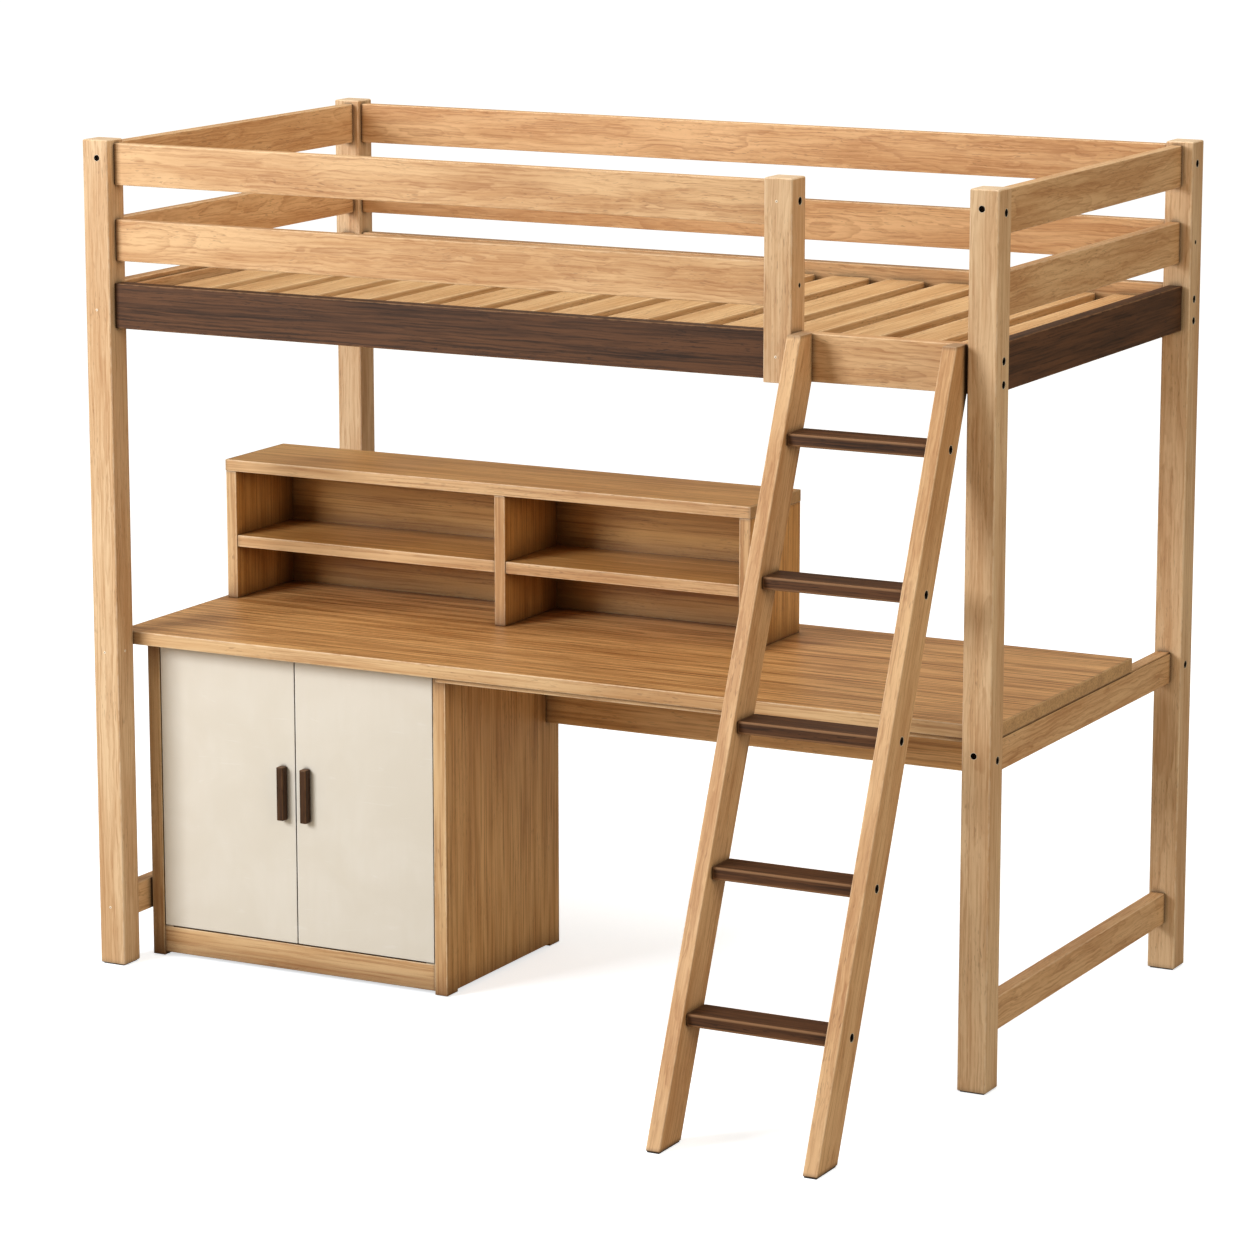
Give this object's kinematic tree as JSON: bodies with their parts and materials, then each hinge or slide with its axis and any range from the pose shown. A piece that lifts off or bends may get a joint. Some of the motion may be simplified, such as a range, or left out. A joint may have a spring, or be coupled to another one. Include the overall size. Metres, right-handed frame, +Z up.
{
  "type": "loft bed with desk",
  "caption": "Wooden loft bed with guard rails and a bolted ladder over a built-in desk with an open hutch and a two-door cabinet.",
  "frame": {"origin": "middle of the footprint, ladder included, on the floor", "axes": "+X along the bed to the end with the ladder, +Y from the ladder side to the back, +Z up"},
  "size_m": [2.1, 1.7218, 1.8],
  "materials": {
    "frame_wood": "satin",
    "rail_wood": "satin",
    "desk_wood": "satin",
    "slat_wood": "satin",
    "dark_wood": "satin",
    "door_paint": "satin",
    "bolt_steel": "satin",
    "hardware_steel": "satin",
    "pad_rubber": "matte"
  },
  "bodies": {
    "bed_frame": {"barrel_nuts": "hardware_steel", "bed_end_liners": "slat_wood", "bed_rail_back": "rail_wood", "bed_rail_entry": "rail_wood", "bed_rail_front": "dark_wood", "bed_rail_left": "dark_wood", "bed_rail_right": "dark_wood", "cabinet_back": "desk_wood", "cabinet_bottom": "desk_wood", "cabinet_plinth": "desk_wood", "cabinet_shelf": "desk_wood", "cabinet_side_left": "desk_wood", "cabinet_side_right": "desk_wood", "cabinet_top_rail": "desk_wood", "desk_apron": "desk_wood", "desk_end_rail": "frame_wood", "desk_front_batten": "desk_wood", "desk_support_block": "frame_wood", "desktop": "desk_wood", "door_catches": "bolt_steel", "door_pivot_plates": "hardware_steel", "floor_pads": "pad_rubber", "frame_bolts": "bolt_steel", "guard_post_front": "frame_wood", "guard_rail_back_lower": "rail_wood", "guard_rail_back_upper": "rail_wood", "guard_rail_front_lower": "rail_wood", "guard_rail_front_upper": "rail_wood", "guard_rail_left_lower": "rail_wood", "guard_rail_left_upper": "rail_wood", "guard_rail_right_lower": "rail_wood", "guard_rail_right_upper": "rail_wood", "hutch_back": "desk_wood", "hutch_divider": "desk_wood", "hutch_shelf_left": "desk_wood", "hutch_shelf_right": "desk_wood", "hutch_side_left": "desk_wood", "hutch_side_right": "desk_wood", "hutch_top": "desk_wood", "ladder_stringer_left": "frame_wood", "ladder_stringer_right": "frame_wood", "ladder_tread_1": "dark_wood", "ladder_tread_2": "dark_wood", "ladder_tread_3": "dark_wood", "ladder_tread_4": "dark_wood", "ladder_tread_5": "dark_wood", "post_back_left": "frame_wood", "post_back_right": "frame_wood", "post_front_left": "frame_wood", "post_front_right": "frame_wood", "rail_bolts": "bolt_steel", "shelf_pins": "hardware_steel", "slat_ledgers": "slat_wood", "slats": "slat_wood", "stretcher_left": "frame_wood", "stretcher_right": "frame_wood"},
    "left_door": {"door_left": "door_paint", "door_handle_left": "dark_wood"},
    "right_door": {"door_right": "door_paint", "door_handle_right": "dark_wood"}
  },
  "joints": [
    {"name": "left_door_hinge", "type": "hinge", "parent": "bed_frame", "child": "left_door", "pos_m": [-0.9515, -0.1081, 0.3865], "axis": [0, 0, -1], "range_deg": [0, 100]},
    {"name": "right_door_hinge", "type": "hinge", "parent": "bed_frame", "child": "right_door", "pos_m": [-0.2805, -0.1081, 0.3865], "axis": [0, 0, 1], "range_deg": [0, 100]}
  ]
}
